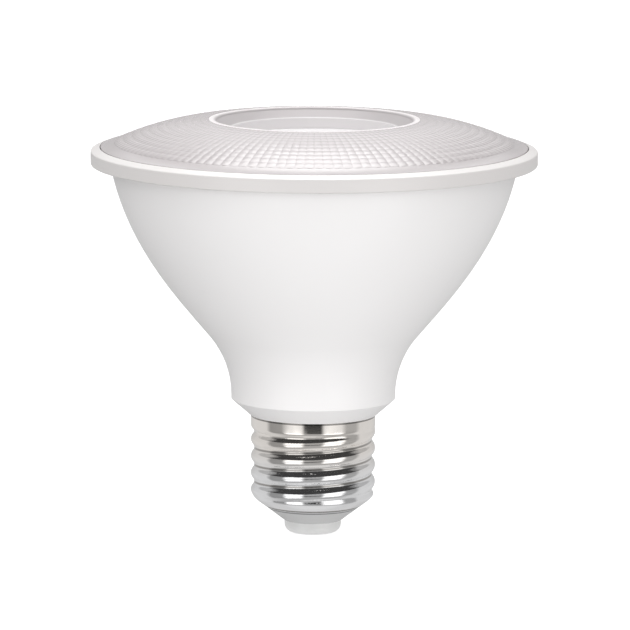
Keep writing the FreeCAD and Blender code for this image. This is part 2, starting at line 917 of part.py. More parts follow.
pieces = [
    centre_contact,
    cap_insulator,
    screw_shell,
    housing,
    trim_ring,
    front_lens,
    heat_sink,
    thermal_pad,
    led_board,
    led_emitter,
    board_screws,
    positive_lead,
    negative_lead,
    driver_board,
    transformer_core,
    transformer_winding,
    bulk_capacitor,
    output_capacitor,
    film_capacitor,
    fuse_resistor,
    filter_inductor,
    varistor,
    bridge_rectifier,
    driver_chip,
    output_diode,
    live_lead,
    neutral_lead,
]

os.makedirs("parts", exist_ok=True)
for piece in pieces:
    solids = piece().Solids
    shape = solids[0] if len(solids) == 1 else Part.makeCompound(solids)
    shape.exportStep("parts/" + piece.__name__ + ".step")
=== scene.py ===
"""Looks of a spotlight bulb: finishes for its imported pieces, a fine pillow lens, and a plain studio."""

import math

import bmesh
import bpy
from bpy.props import FloatProperty, FloatVectorProperty, IntProperty, PointerProperty
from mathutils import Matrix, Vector


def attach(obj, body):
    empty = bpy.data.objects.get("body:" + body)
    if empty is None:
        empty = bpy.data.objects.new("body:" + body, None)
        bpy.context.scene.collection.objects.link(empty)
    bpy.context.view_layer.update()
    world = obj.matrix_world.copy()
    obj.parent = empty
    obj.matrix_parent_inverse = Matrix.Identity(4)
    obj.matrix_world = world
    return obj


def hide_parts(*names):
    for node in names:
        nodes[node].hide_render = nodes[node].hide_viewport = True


bl_info = {
    "name": "Spotlight Bulb",
    "version": (1, 0, 0),
    "blender": (4, 5, 0),
    "location": "3D Viewport > Sidebar > Lamp",
    "description": "Builds the lens, the finishes and the studio of a spotlight bulb",
    "category": "Object",
}

MM = 0.001

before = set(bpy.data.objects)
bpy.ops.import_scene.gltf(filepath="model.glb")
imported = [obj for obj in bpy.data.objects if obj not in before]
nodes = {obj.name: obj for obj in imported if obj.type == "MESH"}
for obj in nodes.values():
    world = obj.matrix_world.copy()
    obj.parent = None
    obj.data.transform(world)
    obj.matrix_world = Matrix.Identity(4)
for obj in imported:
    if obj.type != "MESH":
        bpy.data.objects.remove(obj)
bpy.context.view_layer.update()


# Properties

class LampLensSizes(bpy.types.PropertyGroup):
    """Sizes of the clear lens."""

    radius: FloatProperty(
        name="Radius", description="Outer radius of the lens", default=44.9 * MM, unit="LENGTH")
    seat: FloatProperty(
        name="Seat", description="Height of the ledge that the lens rests on", default=79.9 * MM,
        unit="LENGTH")
    edge_height: FloatProperty(
        name="Edge height", description="Height of the upright edge", default=2.35 * MM, unit="LENGTH")
    columns: IntProperty(
        name="Pillow columns", description="Pillows round the lens", default=132, min=12)
    rows: IntProperty(
        name="Pillow rows", description="Rings of pillows from the well to the band", default=11, min=1)
    pillow_depth: FloatProperty(
        name="Pillow depth", description="Drop from a pillow's crown to its corners", default=0.15 * MM,
        unit="LENGTH")
    pillow_inner: FloatProperty(
        name="Pillow start", description="Radius where the pillows start", default=22.2 * MM,
        unit="LENGTH")
    pillow_outer: FloatProperty(
        name="Pillow end", description="Radius where the pillows end", default=42.0 * MM, unit="LENGTH")
    dome_rise: FloatProperty(
        name="Dome rise", description="Height of the dome over the seat", default=8.33 * MM,
        unit="LENGTH")
    dome_radius: FloatProperty(
        name="Dome radius", description="Radius of the dome's curve", default=56.0 * MM, unit="LENGTH")
    dome_crown: FloatProperty(
        name="Dome crown", description="Radius at which the dome is level", default=19.0 * MM,
        unit="LENGTH")


class LampFinish(bpy.types.PropertyGroup):
    """Colours of the visible pieces."""

    housing: FloatVectorProperty(
        name="Housing", description="Colour of the moulded bowl", default=(0.84, 0.828, 0.827),
        subtype="COLOR")
    ring: FloatVectorProperty(
        name="Ring", description="Colour of the rim ring", default=(0.65, 0.628, 0.62), subtype="COLOR")
    insulator: FloatVectorProperty(
        name="Insulator", description="Colour of the cap insulator", default=(0.50, 0.50, 0.50),
        subtype="COLOR")
    nickel: FloatVectorProperty(
        name="Nickel", description="Colour of the plated screw shell", default=(0.86, 0.82, 0.78),
        subtype="COLOR")
    # The shell is painted with shade inside this radius, in the bottom of the thread's groove.
    groove_radius: FloatProperty(
        name="Groove radius", description="Radius in the bottom of the thread", default=12.47 * MM,
        unit="LENGTH")
    # Painted shadow: above this height the shell is painted dark, standing in for the shadow in the gap
    # under the housing.
    housing_shade_height: FloatProperty(
        name="Seam height", description="Height over which the shell is dark under the housing",
        default=25.0 * MM, unit="LENGTH")
    # Painted dark reflection: under this height the shell's lower edge is painted dark, and a painted
    # shade line runs round the insulator a little lower.
    edge_height: FloatProperty(
        name="Edge height", description="Height under which the shell's lower edge is dark",
        default=6.2 * MM, unit="LENGTH")
    contact: FloatVectorProperty(
        name="Contact", description="Colour of the centre contact", default=(0.90, 0.90, 0.895),
        subtype="COLOR")
    lens: FloatVectorProperty(
        name="Lens", description="Tint of the clear lens", default=(0.565, 0.525, 0.53), subtype="COLOR")


class LampStudio(bpy.types.PropertyGroup):
    """Camera and light."""

    lens_length: FloatProperty(
        name="Focal length", description="Focal length of the camera in millimetres", default=329.64)
    distance: FloatProperty(
        name="Distance", description="From the lamp's axis to the camera", default=1203 * MM,
        unit="LENGTH")
    height: FloatProperty(
        name="Height", description="Height of the camera over the contact", default=236.7 * MM,
        unit="LENGTH")
    pitch: FloatProperty(
        name="Pitch", description="Tilt of the camera below the horizon", default=math.radians(9.2),
        subtype="ANGLE")
    roll: FloatProperty(
        name="Roll", description="Turn of the camera about its own line of sight",
        default=math.radians(0.24), subtype="ANGLE")
    shift_x: FloatProperty(
        name="Shift across", description="Share of the picture's width", default=0.0024)
    shift_y: FloatProperty(
        name="Shift up", description="Share of the picture's width", default=0.0340)
    floor_size: FloatProperty(
        name="Floor size", description="Side of the floor", default=8.0, unit="LENGTH")


# Node helpers

class Tree:
    """A node tree with short calls for adding and linking nodes."""

    def __init__(self, node_tree):
        self.nodes = node_tree.nodes
        self.links = node_tree.links

    def add(self, kind, **values):
        node = self.nodes.new(kind)
        for key, value in values.items():
            setattr(node, key, value)
        return node

    def feed(self, socket, value):
        """Links an output to a socket, or sets its value."""
        if isinstance(value, bpy.types.NodeSocket):
            self.links.new(value, socket)
        elif value is not None:
            socket.default_value = value

    def math(self, operation, first, second=None, clamp=False):
        node = self.add("ShaderNodeMath", operation=operation, use_clamp=clamp)
        for socket, value in zip(node.inputs, (first, second)):
            self.feed(socket, value)
        return node.outputs[0]

    def noise(self, vector, scale, detail, roughness):
        node = self.add("ShaderNodeTexNoise")
        self.feed(node.inputs["Vector"], vector)
        self.feed(node.inputs["Scale"], scale)
        self.feed(node.inputs["Detail"], detail)
        self.feed(node.inputs["Roughness"], roughness)
        return node.outputs[0]

    def spread(self, value, from_low, from_high, to_low, to_high):
        """Maps one range to another, and stays within it."""
        node = self.add("ShaderNodeMapRange")
        for name, entry in (("Value", value), ("From Min", from_low), ("From Max", from_high),
                            ("To Min", to_low), ("To Max", to_high)):
            self.feed(node.inputs[name], entry)
        return node.outputs[0]

    def rise(self, value, start, end):
        """0 up to start and 1 from end on."""
        return self.spread(value, start, end, 0.0, 1.0)

    def fall(self, value, start, end):
        """1 up to start and 0 from end on."""
        return self.spread(value, start, end, 1.0, 0.0)

    def mix_colour(self, share, first, second, blend="MIX"):
        node = self.add("ShaderNodeMix", data_type="RGBA", blend_type=blend)
        self.feed(node.inputs[0], share)
        self.feed(node.inputs[6], colour(first))
        self.feed(node.inputs[7], colour(second))
        return node.outputs[2]

    def mix_shader(self, share, first, second):
        node = self.add("ShaderNodeMixShader")
        for socket, value in zip(node.inputs, (share, first, second)):
            self.feed(socket, value)
        return node.outputs[0]

    def object_place(self):
        return self.add("ShaderNodeTexCoord").outputs["Object"]

    def apart(self, vector):
        node = self.add("ShaderNodeSeparateXYZ")
        self.feed(node.inputs[0], vector)
        return node.outputs

    def radius(self, x, y):
        """Distance from the lamp's axis."""
        squares = [self.math("MULTIPLY", part, part) for part in (x, y)]
        return self.math("SQRT", self.math("ADD", *squares))

    def together(self, x, y, z):
        node = self.add("ShaderNodeCombineXYZ")
        for socket, value in zip(node.inputs, (x, y, z)):
            self.feed(socket, value)
        return node.outputs[0]

    def bump(self, height, distance):
        node = self.add("ShaderNodeBump")
        self.feed(node.inputs["Strength"], 1.0)
        self.feed(node.inputs["Distance"], distance)
        self.feed(node.inputs["Height"], height)
        return node.outputs[0]


def colour(value):
    """A socket as it is, or a colour with its alpha."""
    if isinstance(value, bpy.types.NodeSocket):
        return value
    return (*value[:3], 1.0)


def scaled(base, factor):
    """A colour, lighter or darker."""
    return [factor * part for part in base]


def effect(name, inputs, outputs):
    """A shader node group with named sockets: the group, its tree, what it gets and what it gives."""
    group = bpy.data.node_groups.new(name, "ShaderNodeTree")
    for label, kind, default in inputs:
        socket = group.interface.new_socket(name=label, in_out="INPUT", socket_type=kind)
        if default is not None:
            socket.default_value = default
    for label, kind in outputs:
        group.interface.new_socket(name=label, in_out="OUTPUT", socket_type=kind)
    tree = Tree(group)
    return group, tree, tree.add("NodeGroupInput").outputs, tree.add("NodeGroupOutput").inputs


FLOAT = "NodeSocketFloat"
COLOR = "NodeSocketColor"
SURFACE = [("Color", COLOR), ("Roughness", FLOAT), ("Height", FLOAT)]
effects = {}  # the node groups, which the first operator makes


def make_moulded_skin():
    """Fine spark-eroded grain with a slow cloud of tone, for moulded plastic."""
    group, tree, given, out = effect(
        "Moulded Skin",
        [("Color", COLOR, (0.8, 0.8, 0.8, 1)), ("Grain Scale", FLOAT, 2200.0), ("Cloud", FLOAT, 0.03),
         ("Roughness", FLOAT, 0.4), ("Roughness Spread", FLOAT, 0.06)],
        SURFACE)
    place = tree.object_place()
    grain = tree.noise(place, given["Grain Scale"], 2.0, 0.6)
    cloud = tree.noise(place, 45.0, 3.0, 0.5)
    share = tree.math("MULTIPLY", tree.rise(cloud, 0.35, 0.65), given["Cloud"])
    darker = tree.mix_colour(1.0, given["Color"], (0.72, 0.70, 0.68), "MULTIPLY")
    tree.feed(out["Color"], tree.mix_colour(share, given["Color"], darker))
    shift = tree.math("MULTIPLY", tree.math("SUBTRACT", cloud, 0.5), given["Roughness Spread"])
    tree.feed(out["Roughness"], tree.math("ADD", given["Roughness"], shift))
    tree.feed(out["Height"], grain)
    return group


def make_drawn_metal():
    """Fine lines round the axis with handling marks, for metal that was spun or rolled."""
    group, tree, given, out = effect(
        "Drawn Metal",
        [("Color", COLOR, (0.8, 0.8, 0.8, 1)), ("Line Scale", FLOAT, 1600.0), ("Roughness", FLOAT, 0.15),
         ("Roughness Spread", FLOAT, 0.1), ("Tarnish", FLOAT, 0.1)],
        SURFACE)
    place = tree.object_place()
    x, y, z = tree.apart(place)
    along = tree.math("MULTIPLY", tree.math("ARCTAN2", y, x), 0.002)
    lines = tree.noise(tree.together(along, tree.radius(x, y), z), given["Line Scale"], 4.0, 0.7)
    cloud = tree.noise(place, 180.0, 4.0, 0.6)
    marks = tree.math("MULTIPLY", tree.rise(cloud, 0.45, 0.75), given["Tarnish"])
    tree.feed(out["Color"], tree.mix_colour(marks, given["Color"], (0.45, 0.40, 0.33)))
    spread = tree.math("MULTIPLY", tree.math("SUBTRACT", tree.math("ADD", lines, cloud), 1.0),
                       given["Roughness Spread"])
    tree.feed(out["Roughness"], tree.math("ADD", given["Roughness"], spread, clamp=True))
    tree.feed(out["Height"], lines)
    return group


def bare_material(name):
    """A material without a shader: the material, its tree and its surface socket."""
    material = bpy.data.materials.new(name)
    material.use_nodes = True
    material.node_tree.nodes.clear()
    tree = Tree(material.node_tree)
    return material, tree, tree.add("ShaderNodeOutputMaterial").inputs["Surface"]


def new_material(name, **constants):
    """A material with one shader: the material, its tree and the shader's sockets."""
    material, tree, surface = bare_material(name)
    shader = tree.add("ShaderNodeBsdfPrincipled")
    tree.feed(surface, shader.outputs[0])
    set_constants(shader.inputs, **constants)
    return material, tree, shader.inputs


def set_constants(sockets, **values):
    """Gives sockets that nothing feeds their values."""
    for label, value in values.items():
        sockets[label.replace("_", " ")].default_value = value


def place_effect(tree, name, **values):
    """Adds a shared effect to a material, and gives its outputs."""
    node = tree.add("ShaderNodeGroup")
    node.node_tree = effects[name]
    for label, value in values.items():
        socket = node.inputs[label.replace("_", " ")]
        tree.feed(socket, colour(value) if socket.type == "RGBA" else value)
    return node.outputs


def feed_surface(tree, shader, surface, bump_height, base=None):
    """Feeds an effect to a shader, with another base colour if one is given."""
    tree.feed(shader["Base Color"], surface["Color"] if base is None else base)
    tree.feed(shader["Roughness"], surface["Roughness"])
    tree.feed(shader["Normal"], tree.bump(surface["Height"], bump_height * MM))


def moulded(name, base, roughness, grain_height=0.01, cloud=0.03):
    """Moulded plastic: a faint grain and a slow cloud of tone."""
    material, tree, shader = new_material(name)
    skin = place_effect(tree, "skin", Color=base, Cloud=cloud, Roughness=roughness)
    feed_surface(tree, shader, skin, grain_height)
    return material


def drawn(name, base, roughness, line_height=0.002, tarnish=0.1):
    """Metal with fine lines round the lamp's axis."""
    material, tree, shader = new_material(name, Metallic=1.0)
    metal = place_effect(tree, "metal", Color=base, Roughness=roughness, Tarnish=tarnish)
    feed_surface(tree, shader, metal, line_height)
    return material


def nickel_material():
    """Nickel plate, warmer towards the top, with painted shade in the groove and under the housing, and a
    painted dark reflection at the foot.
    """
    cool, shade_tone = (0.83, 0.83, 0.84), (0.30, 0.285, 0.27)
    warm_start, warm_end = 13 * MM, 19 * MM
    groove_start, groove_full = 9.5 * MM, 9.7 * MM
    finish = bpy.context.scene.lamp_finish
    material, tree, shader = new_material("Nickel Plate", Metallic=1.0)
    x, y, z = tree.apart(tree.object_place())
    plate = tree.mix_colour(tree.rise(z, warm_start, warm_end), cool, finish.nickel)
    # Painted shade in the bottom of the thread's groove.
    groove_shade = tree.fall(tree.radius(x, y), finish.groove_radius, finish.groove_radius + 0.05 * MM)
    groove_shade = tree.math("MULTIPLY", groove_shade, tree.rise(z, groove_start, groove_full))
    # Painted shadow under the housing, at the top of the shell.
    housing_shade = tree.rise(z, finish.housing_shade_height - 0.05 * MM, finish.housing_shade_height)
    # Painted dark reflection round the shell's lower edge, at the foot.
    edge = tree.fall(z, finish.edge_height, finish.edge_height + 0.08 * MM)
    shaded = tree.math("MAXIMUM", groove_shade, tree.math("MAXIMUM", housing_shade, edge))
    tone = tree.mix_colour(shaded, plate, shade_tone)
    metal = place_effect(tree, "metal", Color=tone, Roughness=0.09, Roughness_Spread=0.06, Tarnish=0.05)
    feed_surface(tree, shader, metal, 0.001)
    return material


def insulator_material():
    """Grey moulded plastic with a painted shade line round it, a little under the shell."""
    shade_tone = (0.16, 0.16, 0.165)
    under_shell = 0.7 * MM
    finish = bpy.context.scene.lamp_finish
    material, tree, shader = new_material("Grey Insulator")
    height = tree.apart(tree.object_place())[2]
    # Painted shade: a dark line a little under the shell stands in for the shell's shadow.
    off_shade_line = tree.math("ABSOLUTE", tree.math("SUBTRACT", height, finish.edge_height - under_shell))
    tone = tree.mix_colour(tree.fall(off_shade_line, 0.1 * MM, 0.2 * MM), finish.insulator, shade_tone)
    skin = place_effect(tree, "skin", Color=tone, Cloud=0.03, Roughness=0.25)
    feed_surface(tree, shader, skin, 0.003)
    return material


def dress(node, material):
    """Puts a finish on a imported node."""
    for slot in nodes[node].material_slots:
        slot.material = material


# The lens

PILLOW_SPLITS = 4  # faces along each side of a pillow
LIP_RADIUS = 21.25 * MM  # the top of the lip round the well
CONE_EDGE = (20.6 * MM, 0.55 * MM)  # radius of the cone's upper edge and its depth under the lip
WELL_WALL = 17.4 * MM  # radius of the upright wall of the well
WELL_LEDGE = 4.2 * MM  # depth of the ledge inside the wall, and height of the first slope
WELL_DEPTH = 12.7 * MM
EYE_RADIUS = 11.5 * MM  # the small lens in the middle of the well's floor
EYE_RISE = 3.5 * MM
PLASTIC_IOR = 1.49
BACK_RADIUS = 38.8 * MM  # the back of the lens, inside the ledge that it rests on
BACK_STEP = 1.4 * MM  # height of the upright step from the seat down to the curved back
BACK_SLOPE = math.radians(31.0)  # of the curved back at its foot
BACK_FOOT = (9.5 * MM, 51.2 * MM)  # radius and height of the lowest edge of the back
POCKET = (7.0 * MM, 58.5 * MM)  # radius and height of the upper edge of the pocket over the light source
POCKET_MOUTH = 7.6 * MM  # radius of the pocket's lower edge
CLEAR, FROSTED, WELL = range(3)  # the material slots of the lens


def spun(profile, steps):
    """A closed surface of revolution round the lamp's axis from a profile of (radius, height) points."""
    bm = bmesh.new()
    points = [bm.verts.new((radius, 0, height)) for radius, height in profile]
    edges = [bm.edges.new(pair) for pair in zip(points, points[1:])]
    bmesh.ops.spin(bm, geom=points + edges, cent=(0, 0, 0), axis=(0, 0, 1), angle=2 * math.pi,
                   steps=steps, use_merge=True)
    bmesh.ops.remove_doubles(bm, verts=bm.verts, dist=0.001 * MM)
    return bm


def finish_piece(bm, name, material):
    """Turns a bmesh into a smooth object with its first material."""
    bmesh.ops.recalc_face_normals(bm, faces=bm.faces)
    for face in bm.faces:
        face.smooth = True
    mesh = bpy.data.meshes.new(name)
    bm.to_mesh(mesh)
    bm.free()
    mesh.materials.append(material)
    piece = bpy.data.objects.new(name, mesh)
    bpy.context.scene.collection.objects.link(piece)
    return piece


def arc(start, middle, end, pieces):
    """Points after start on the circle through three (radius, height) points."""
    (ax, ay), (bx, by), (cx, cy) = start, middle, end
    scale = 2 * (ax * (by - cy) + bx * (cy - ay) + cx * (ay - by))
    a2, b2, c2 = ax**2 + ay**2, bx**2 + by**2, cx**2 + cy**2
    ux = (a2 * (by - cy) + b2 * (cy - ay) + c2 * (ay - by)) / scale
    uy = (a2 * (cx - bx) + b2 * (ax - cx) + c2 * (bx - ax)) / scale
    radius = math.hypot(ax - ux, ay - uy)
    first = math.atan2(ay - uy, ax - ux)
    through = (math.atan2(by - uy, bx - ux) - first) % (2 * math.pi)
    sweep = (math.atan2(cy - uy, cx - ux) - first) % (2 * math.pi)
    if through > sweep:
        sweep -= 2 * math.pi
    angles = [first + sweep * i / pieces for i in range(1, pieces + 1)]
    return [(ux + radius * math.cos(angle), uy + radius * math.sin(angle)) for angle in angles]


def dome_height(radius):
    """Height of the smooth dome, which the pillows' crowns touch."""
    sizes = bpy.context.scene.lamp_lens
    drop = sizes.dome_radius - math.sqrt(sizes.dome_radius**2 - (radius - sizes.dome_crown) ** 2)
    return sizes.seat + sizes.dome_rise - drop


def pillow_pitch():
    """Distance from one ring of pillows to the next."""
    sizes = bpy.context.scene.lamp_lens
    return (sizes.pillow_outer - sizes.pillow_inner) / sizes.rows


def pillow_drop(row):
    """Drop from a pillow's crown to its corners, less in the rows next to the well."""
    sizes = bpy.context.scene.lamp_lens
    return sizes.pillow_depth * min(1.0, 0.4 + row / sizes.rows)


def well_profile(crest):
    """From the middle of the well, over its floor, wall and cone, to the edge of the lip."""
    floor = crest - WELL_DEPTH
    eye_top = (0.0, floor + EYE_RISE)
    ledge = crest - WELL_LEDGE
    lip_start = (CONE_EDGE[0], crest - CONE_EDGE[1])
    return [eye_top, *arc(eye_top, (5.9 * MM, floor + 2.61 * MM), (EYE_RADIUS, floor), 8),
            (13.5 * MM, floor), (14.8 * MM, floor + WELL_LEDGE), (16.2 * MM, ledge),
            (WELL_WALL, ledge), (WELL_WALL, crest - 2.0 * MM), lip_start]


def back_profile(seat):
    """From the seat, down the curved back and up the pocket, to the middle of its roof."""
    root, foot = Vector((BACK_RADIUS, seat - BACK_STEP)), Vector(BACK_FOOT)
    half = (root.x - foot.x) / 2
    handle = foot + Vector((half, half * math.tan(BACK_SLOPE)))
    points = [(BACK_RADIUS, seat), (BACK_RADIUS, seat - BACK_STEP)]
    for t in (step / 20 for step in range(1, 21)):
        point = root * (1 - t) ** 2 + handle * 2 * t * (1 - t) + foot * t**2
        points.append((point.x, point.y))
    return points + [(POCKET_MOUTH, BACK_FOOT[1]), POCKET,
                     *arc(POCKET, (3.6 * MM, 57.54 * MM), (0.0, 57.2 * MM), 8)]


def lens_profile():
    """The lens from the middle of its well, over the dome and round to the middle of its back."""
    sizes = bpy.context.scene.lamp_lens
    crest = dome_height(LIP_RADIUS)
    points = well_profile(crest)
    lip_end = (21.95 * MM, dome_height(sizes.pillow_inner) - pillow_drop(0))
    points += arc(points[-1], (LIP_RADIUS, crest - 0.04 * MM), lip_end, 6)
    points.append((22.17 * MM, lip_end[1]))
    for step in range(sizes.rows * PILLOW_SPLITS + 1):
        radius = sizes.pillow_inner + pillow_pitch() * step / PILLOW_SPLITS
        points.append((radius, dome_height(radius)))
    band = (42.03 * MM, dome_height(sizes.pillow_outer) - sizes.pillow_depth)
    edge = (sizes.radius, sizes.seat + sizes.edge_height)
    middle = ((band[0] + edge[0]) / 2, (band[1] + edge[1]) / 2 - 0.08 * MM)
    points += [band, *arc(band, middle, edge, 6), (sizes.radius, sizes.seat)]
    return points + back_profile(sizes.seat)


def on_pillows(sizes, point, margin):
    """Whether a point lies in the field of pillows on the top of the lens."""
    radius = math.hypot(point.x, point.y)
    return (point.z >= sizes.seat + sizes.edge_height
            and sizes.pillow_inner - margin < radius < sizes.pillow_outer + margin)


def column_of(sizes, point):
    """Where a point lies round the lens, in columns of pillows."""
    return math.atan2(point.y, point.x) / (2 * math.pi) * sizes.columns


def raise_pillows(bm):
    """Lowers the dome between the pillows' crowns, most at their corners."""
    sizes = bpy.context.scene.lamp_lens
    pitch = pillow_pitch()
    for vert in bm.verts:
        if not on_pillows(sizes, vert.co, 0.001 * MM):
            continue
        row = (math.hypot(vert.co.x, vert.co.y) - sizes.pillow_inner) / pitch
        places = (row, column_of(sizes, vert.co))
        across, along = (2 * abs(place - math.floor(place) - 0.5) for place in places)
        vert.co.z -= pillow_drop(row) * (across**2 + along**2) / 2


def crease_pillows(bm):
    """Makes the edges sharp where two pillows meet."""
    sizes = bpy.context.scene.lamp_lens
    pitch = pillow_pitch()
    margin = 0.01 * MM
    near = 0.02  # share of a pillow
    # The middle of an edge lies inside the circle through its ends, by this factor
    chord = math.cos(math.pi / sizes.columns / PILLOW_SPLITS)
    for edge in bm.edges:
        first, second = edge.verts
        middle = (first.co + second.co) / 2
        if not on_pillows(sizes, middle, margin):
            continue
        radii = [math.hypot(vert.co.x, vert.co.y) for vert in edge.verts]
        if abs(radii[0] - radii[1]) < margin:
            place = (math.hypot(middle.x, middle.y) / chord - sizes.pillow_inner) / pitch
        else:
            place = column_of(sizes, middle)
        edge.smooth = abs(place - round(place)) > near


def build_lens():
    """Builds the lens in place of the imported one, with its three materials."""
    sizes = bpy.context.scene.lamp_lens
    bm = spun(lens_profile(), sizes.columns * PILLOW_SPLITS)
    raise_pillows(bm)
    crease_pillows(bm)
    for edge in bm.edges:
        if len(edge.link_faces) == 2 and edge.calc_face_angle() > math.radians(28):
            edge.smooth = False
    under_floor = dome_height(LIP_RADIUS) - 13 * MM
    under_seat = sizes.seat - 0.5 * MM
    for face in bm.faces:
        centre = face.calc_center_median()
        radius = math.hypot(centre.x, centre.y)
        if centre.z > under_floor and radius < 22.1 * MM:
            face.material_index = WELL
        elif centre.z < under_seat and radius > POCKET_MOUTH + 0.1 * MM:
            face.material_index = FROSTED
    lens = finish_piece(bm, "pillow_lens", clear_lens_material())
    lens.data.materials.append(frosted_back_material())
    lens.data.materials.append(well_material())
    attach(lens, "root")
    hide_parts("front_lens")


def clear_lens_material():
    """Clear moulded plastic, a little milky, with painted shade in the lines where its pillows meet and
    painted light on the rows near the well.
    """
    near_well_light, valley_shade_factor = 1.06, 0.95  # times the tint: painted light near the well, painted shade in the valleys
    bright_rows = 6.0  # rows from the well over which the painted light fades
    valley_shade_start = 0.36  # share of a pillow from its middle, where the painted valley shade starts
    fade = 0.05 * MM
    finish = bpy.context.scene.lamp_finish
    sizes = bpy.context.scene.lamp_lens
    material, tree, shader = new_material(
        "Clear Lens", Transmission_Weight=0.3, Metallic=0.0, IOR=PLASTIC_IOR)
    x, y, z = tree.apart(tree.object_place())
    radius = tree.radius(x, y)
    row = tree.math("DIVIDE", tree.math("SUBTRACT", radius, sizes.pillow_inner), pillow_pitch())
    column = tree.math("MULTIPLY", tree.math("ARCTAN2", y, x), sizes.columns / (2 * math.pi))
    # Painted shade in the valleys between the pillows.
    valley_shades = []
    for place in (row, column):
        to_middle = tree.math("ABSOLUTE", tree.math("SUBTRACT", tree.math("FRACT", place), 0.5))
        valley_shades.append(tree.rise(to_middle, valley_shade_start, 0.5))
    valley_shade = tree.math("MAXIMUM", *valley_shades)
    for edge, outside in ((sizes.pillow_inner, -1.0), (sizes.pillow_outer, 1.0)):
        past_edge = tree.math("MULTIPLY", tree.math("SUBTRACT", radius, edge), outside)
        valley_shade = tree.math("MULTIPLY", valley_shade, tree.fall(past_edge, 0.0, fade))
    valley_shade = tree.math("MULTIPLY", valley_shade, tree.rise(z, sizes.seat, sizes.seat + 0.5 * MM))
    skin = place_effect(tree, "skin", Color=finish.lens, Grain_Scale=420.0, Cloud=0.0, Roughness=0.2,
                        Roughness_Spread=0.02)
    # Painted light on the rows next to the well, then painted shade in the valleys.
    tone = tree.mix_colour(tree.fall(row, 0.0, bright_rows), skin["Color"],
                           scaled(finish.lens, near_well_light))
    tone = tree.mix_colour(valley_shade, tone, scaled(finish.lens, valley_shade_factor))
    feed_surface(tree, shader, skin, 0.002, base=tone)
    return material


def well_material():
    """The lip, cone, wall and floor of the well: satin, with painted light on the slopes and the lip and
    painted shade on the cone and the floor.
    """
    floor, slope_light = (0.52, 0.495, 0.50), (1.0, 0.985, 0.99)
    cone_shade, lip_light = (0.40, 0.375, 0.38), (0.76, 0.725, 0.73)
    material, tree, shader = new_material(
        "Lens Well", Transmission_Weight=0.06, Metallic=0.0, IOR=PLASTIC_IOR, Specular_IOR_Level=0.15)
    x, y, _ = tree.apart(tree.object_place())
    radius = tree.radius(x, y)
    skin = place_effect(tree, "skin", Color=slope_light, Grain_Scale=900.0, Cloud=0.0, Roughness=0.35)
    # Painted light and shade: each ring of the well gets its own tone, standing in for the light and
    # shade that clear plastic shows; the floor tone is painted shade.
    tone = tree.mix_colour(tree.rise(radius, 13.0 * MM, 14.0 * MM), floor, skin["Color"])
    tone = tree.mix_colour(tree.rise(radius, 17.0 * MM, 17.9 * MM), tone, cone_shade)
    tone = tree.mix_colour(tree.rise(radius, 20.7 * MM, 21.3 * MM), tone, lip_light)
    feed_surface(tree, shader, skin, 0.004, base=tone)
    return material


def frosted_back_material():
    """The back of the lens, frosted so that it spreads the light."""
    material, tree, shader = new_material(
        "Frosted Lens Back", Transmission_Weight=0.0, Metallic=0.0, IOR=PLASTIC_IOR)
    skin = place_effect(tree, "skin", Color=(0.95, 0.94, 0.945), Grain_Scale=900.0, Cloud=0.02,
                        Roughness=0.5)
    feed_surface(tree, shader, skin, 0.02)
    return material


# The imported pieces

def dress_outside():
    """Finishes the pieces that the photo shows, apart from the lens."""
    finish = bpy.context.scene.lamp_finish
    dress("housing", moulded("White Housing", finish.housing, 0.42, grain_height=0.006))
    dress("trim_ring", moulded("White Ring", finish.ring, 0.30, grain_height=0.003, cloud=0.02))
    dress("cap_insulator", insulator_material())
    dress("screw_shell", nickel_material())
    dress("centre_contact", drawn("Contact Metal", finish.contact, 0.7, line_height=0.001, tarnish=0.03))


def dress_inside():
    """Finishes the pieces inside the housing."""
    dress("heat_sink", drawn("Heat Sink Sheet", (0.86, 0.86, 0.86), 0.35, line_height=0.004))
    dress("thermal_pad", moulded("Thermal Pad", (0.5, 0.52, 0.56), 0.7))
    dress("led_board", moulded("White Board", (0.85, 0.85, 0.83), 0.4))
    dress("board_screws", drawn("Screw Steel", (0.6, 0.6, 0.6), 0.3))
    dress("led_emitter", phosphor_material())
    black, ferrite, sleeve = (0.02, 0.02, 0.02), (0.05, 0.05, 0.055), (0.02, 0.025, 0.04)
    for node, base, roughness in (
            ("positive_lead", (0.5, 0.03, 0.02), 0.4), ("negative_lead", black, 0.4),
            ("driver_board", (0.03, 0.16, 0.06), 0.4), ("transformer_core", ferrite, 0.6),
            ("transformer_winding", (0.7, 0.5, 0.06), 0.35), ("bulk_capacitor", sleeve, 0.35),
            ("output_capacitor", sleeve, 0.35), ("film_capacitor", (0.65, 0.5, 0.08), 0.35),
            ("fuse_resistor", (0.25, 0.4, 0.35), 0.4), ("filter_inductor", ferrite, 0.6),
            ("varistor", (0.05, 0.12, 0.3), 0.4), ("bridge_rectifier", black, 0.5),
            ("driver_chip", black, 0.5), ("output_diode", black, 0.5)):
        dress(node, moulded(node.replace("_", " ").title(), base, roughness))
    for node in ("live_lead", "neutral_lead"):
        dress(node, drawn(node.replace("_", " ").title(), (0.7, 0.68, 0.65), 0.3))


def phosphor_material():
    """A yellow disc of phosphor on a white ceramic square."""
    yellow, white = (0.85, 0.62, 0.12), (0.82, 0.82, 0.80)
    material, tree, shader = new_material("Phosphor", Roughness=0.6)
    x, y, _ = tree.apart(tree.object_place())
    outside = tree.rise(tree.radius(x, y), 4.75 * MM, 4.85 * MM)
    tree.feed(shader["Base Color"], tree.mix_colour(outside, yellow, white))
    return material


# The studio

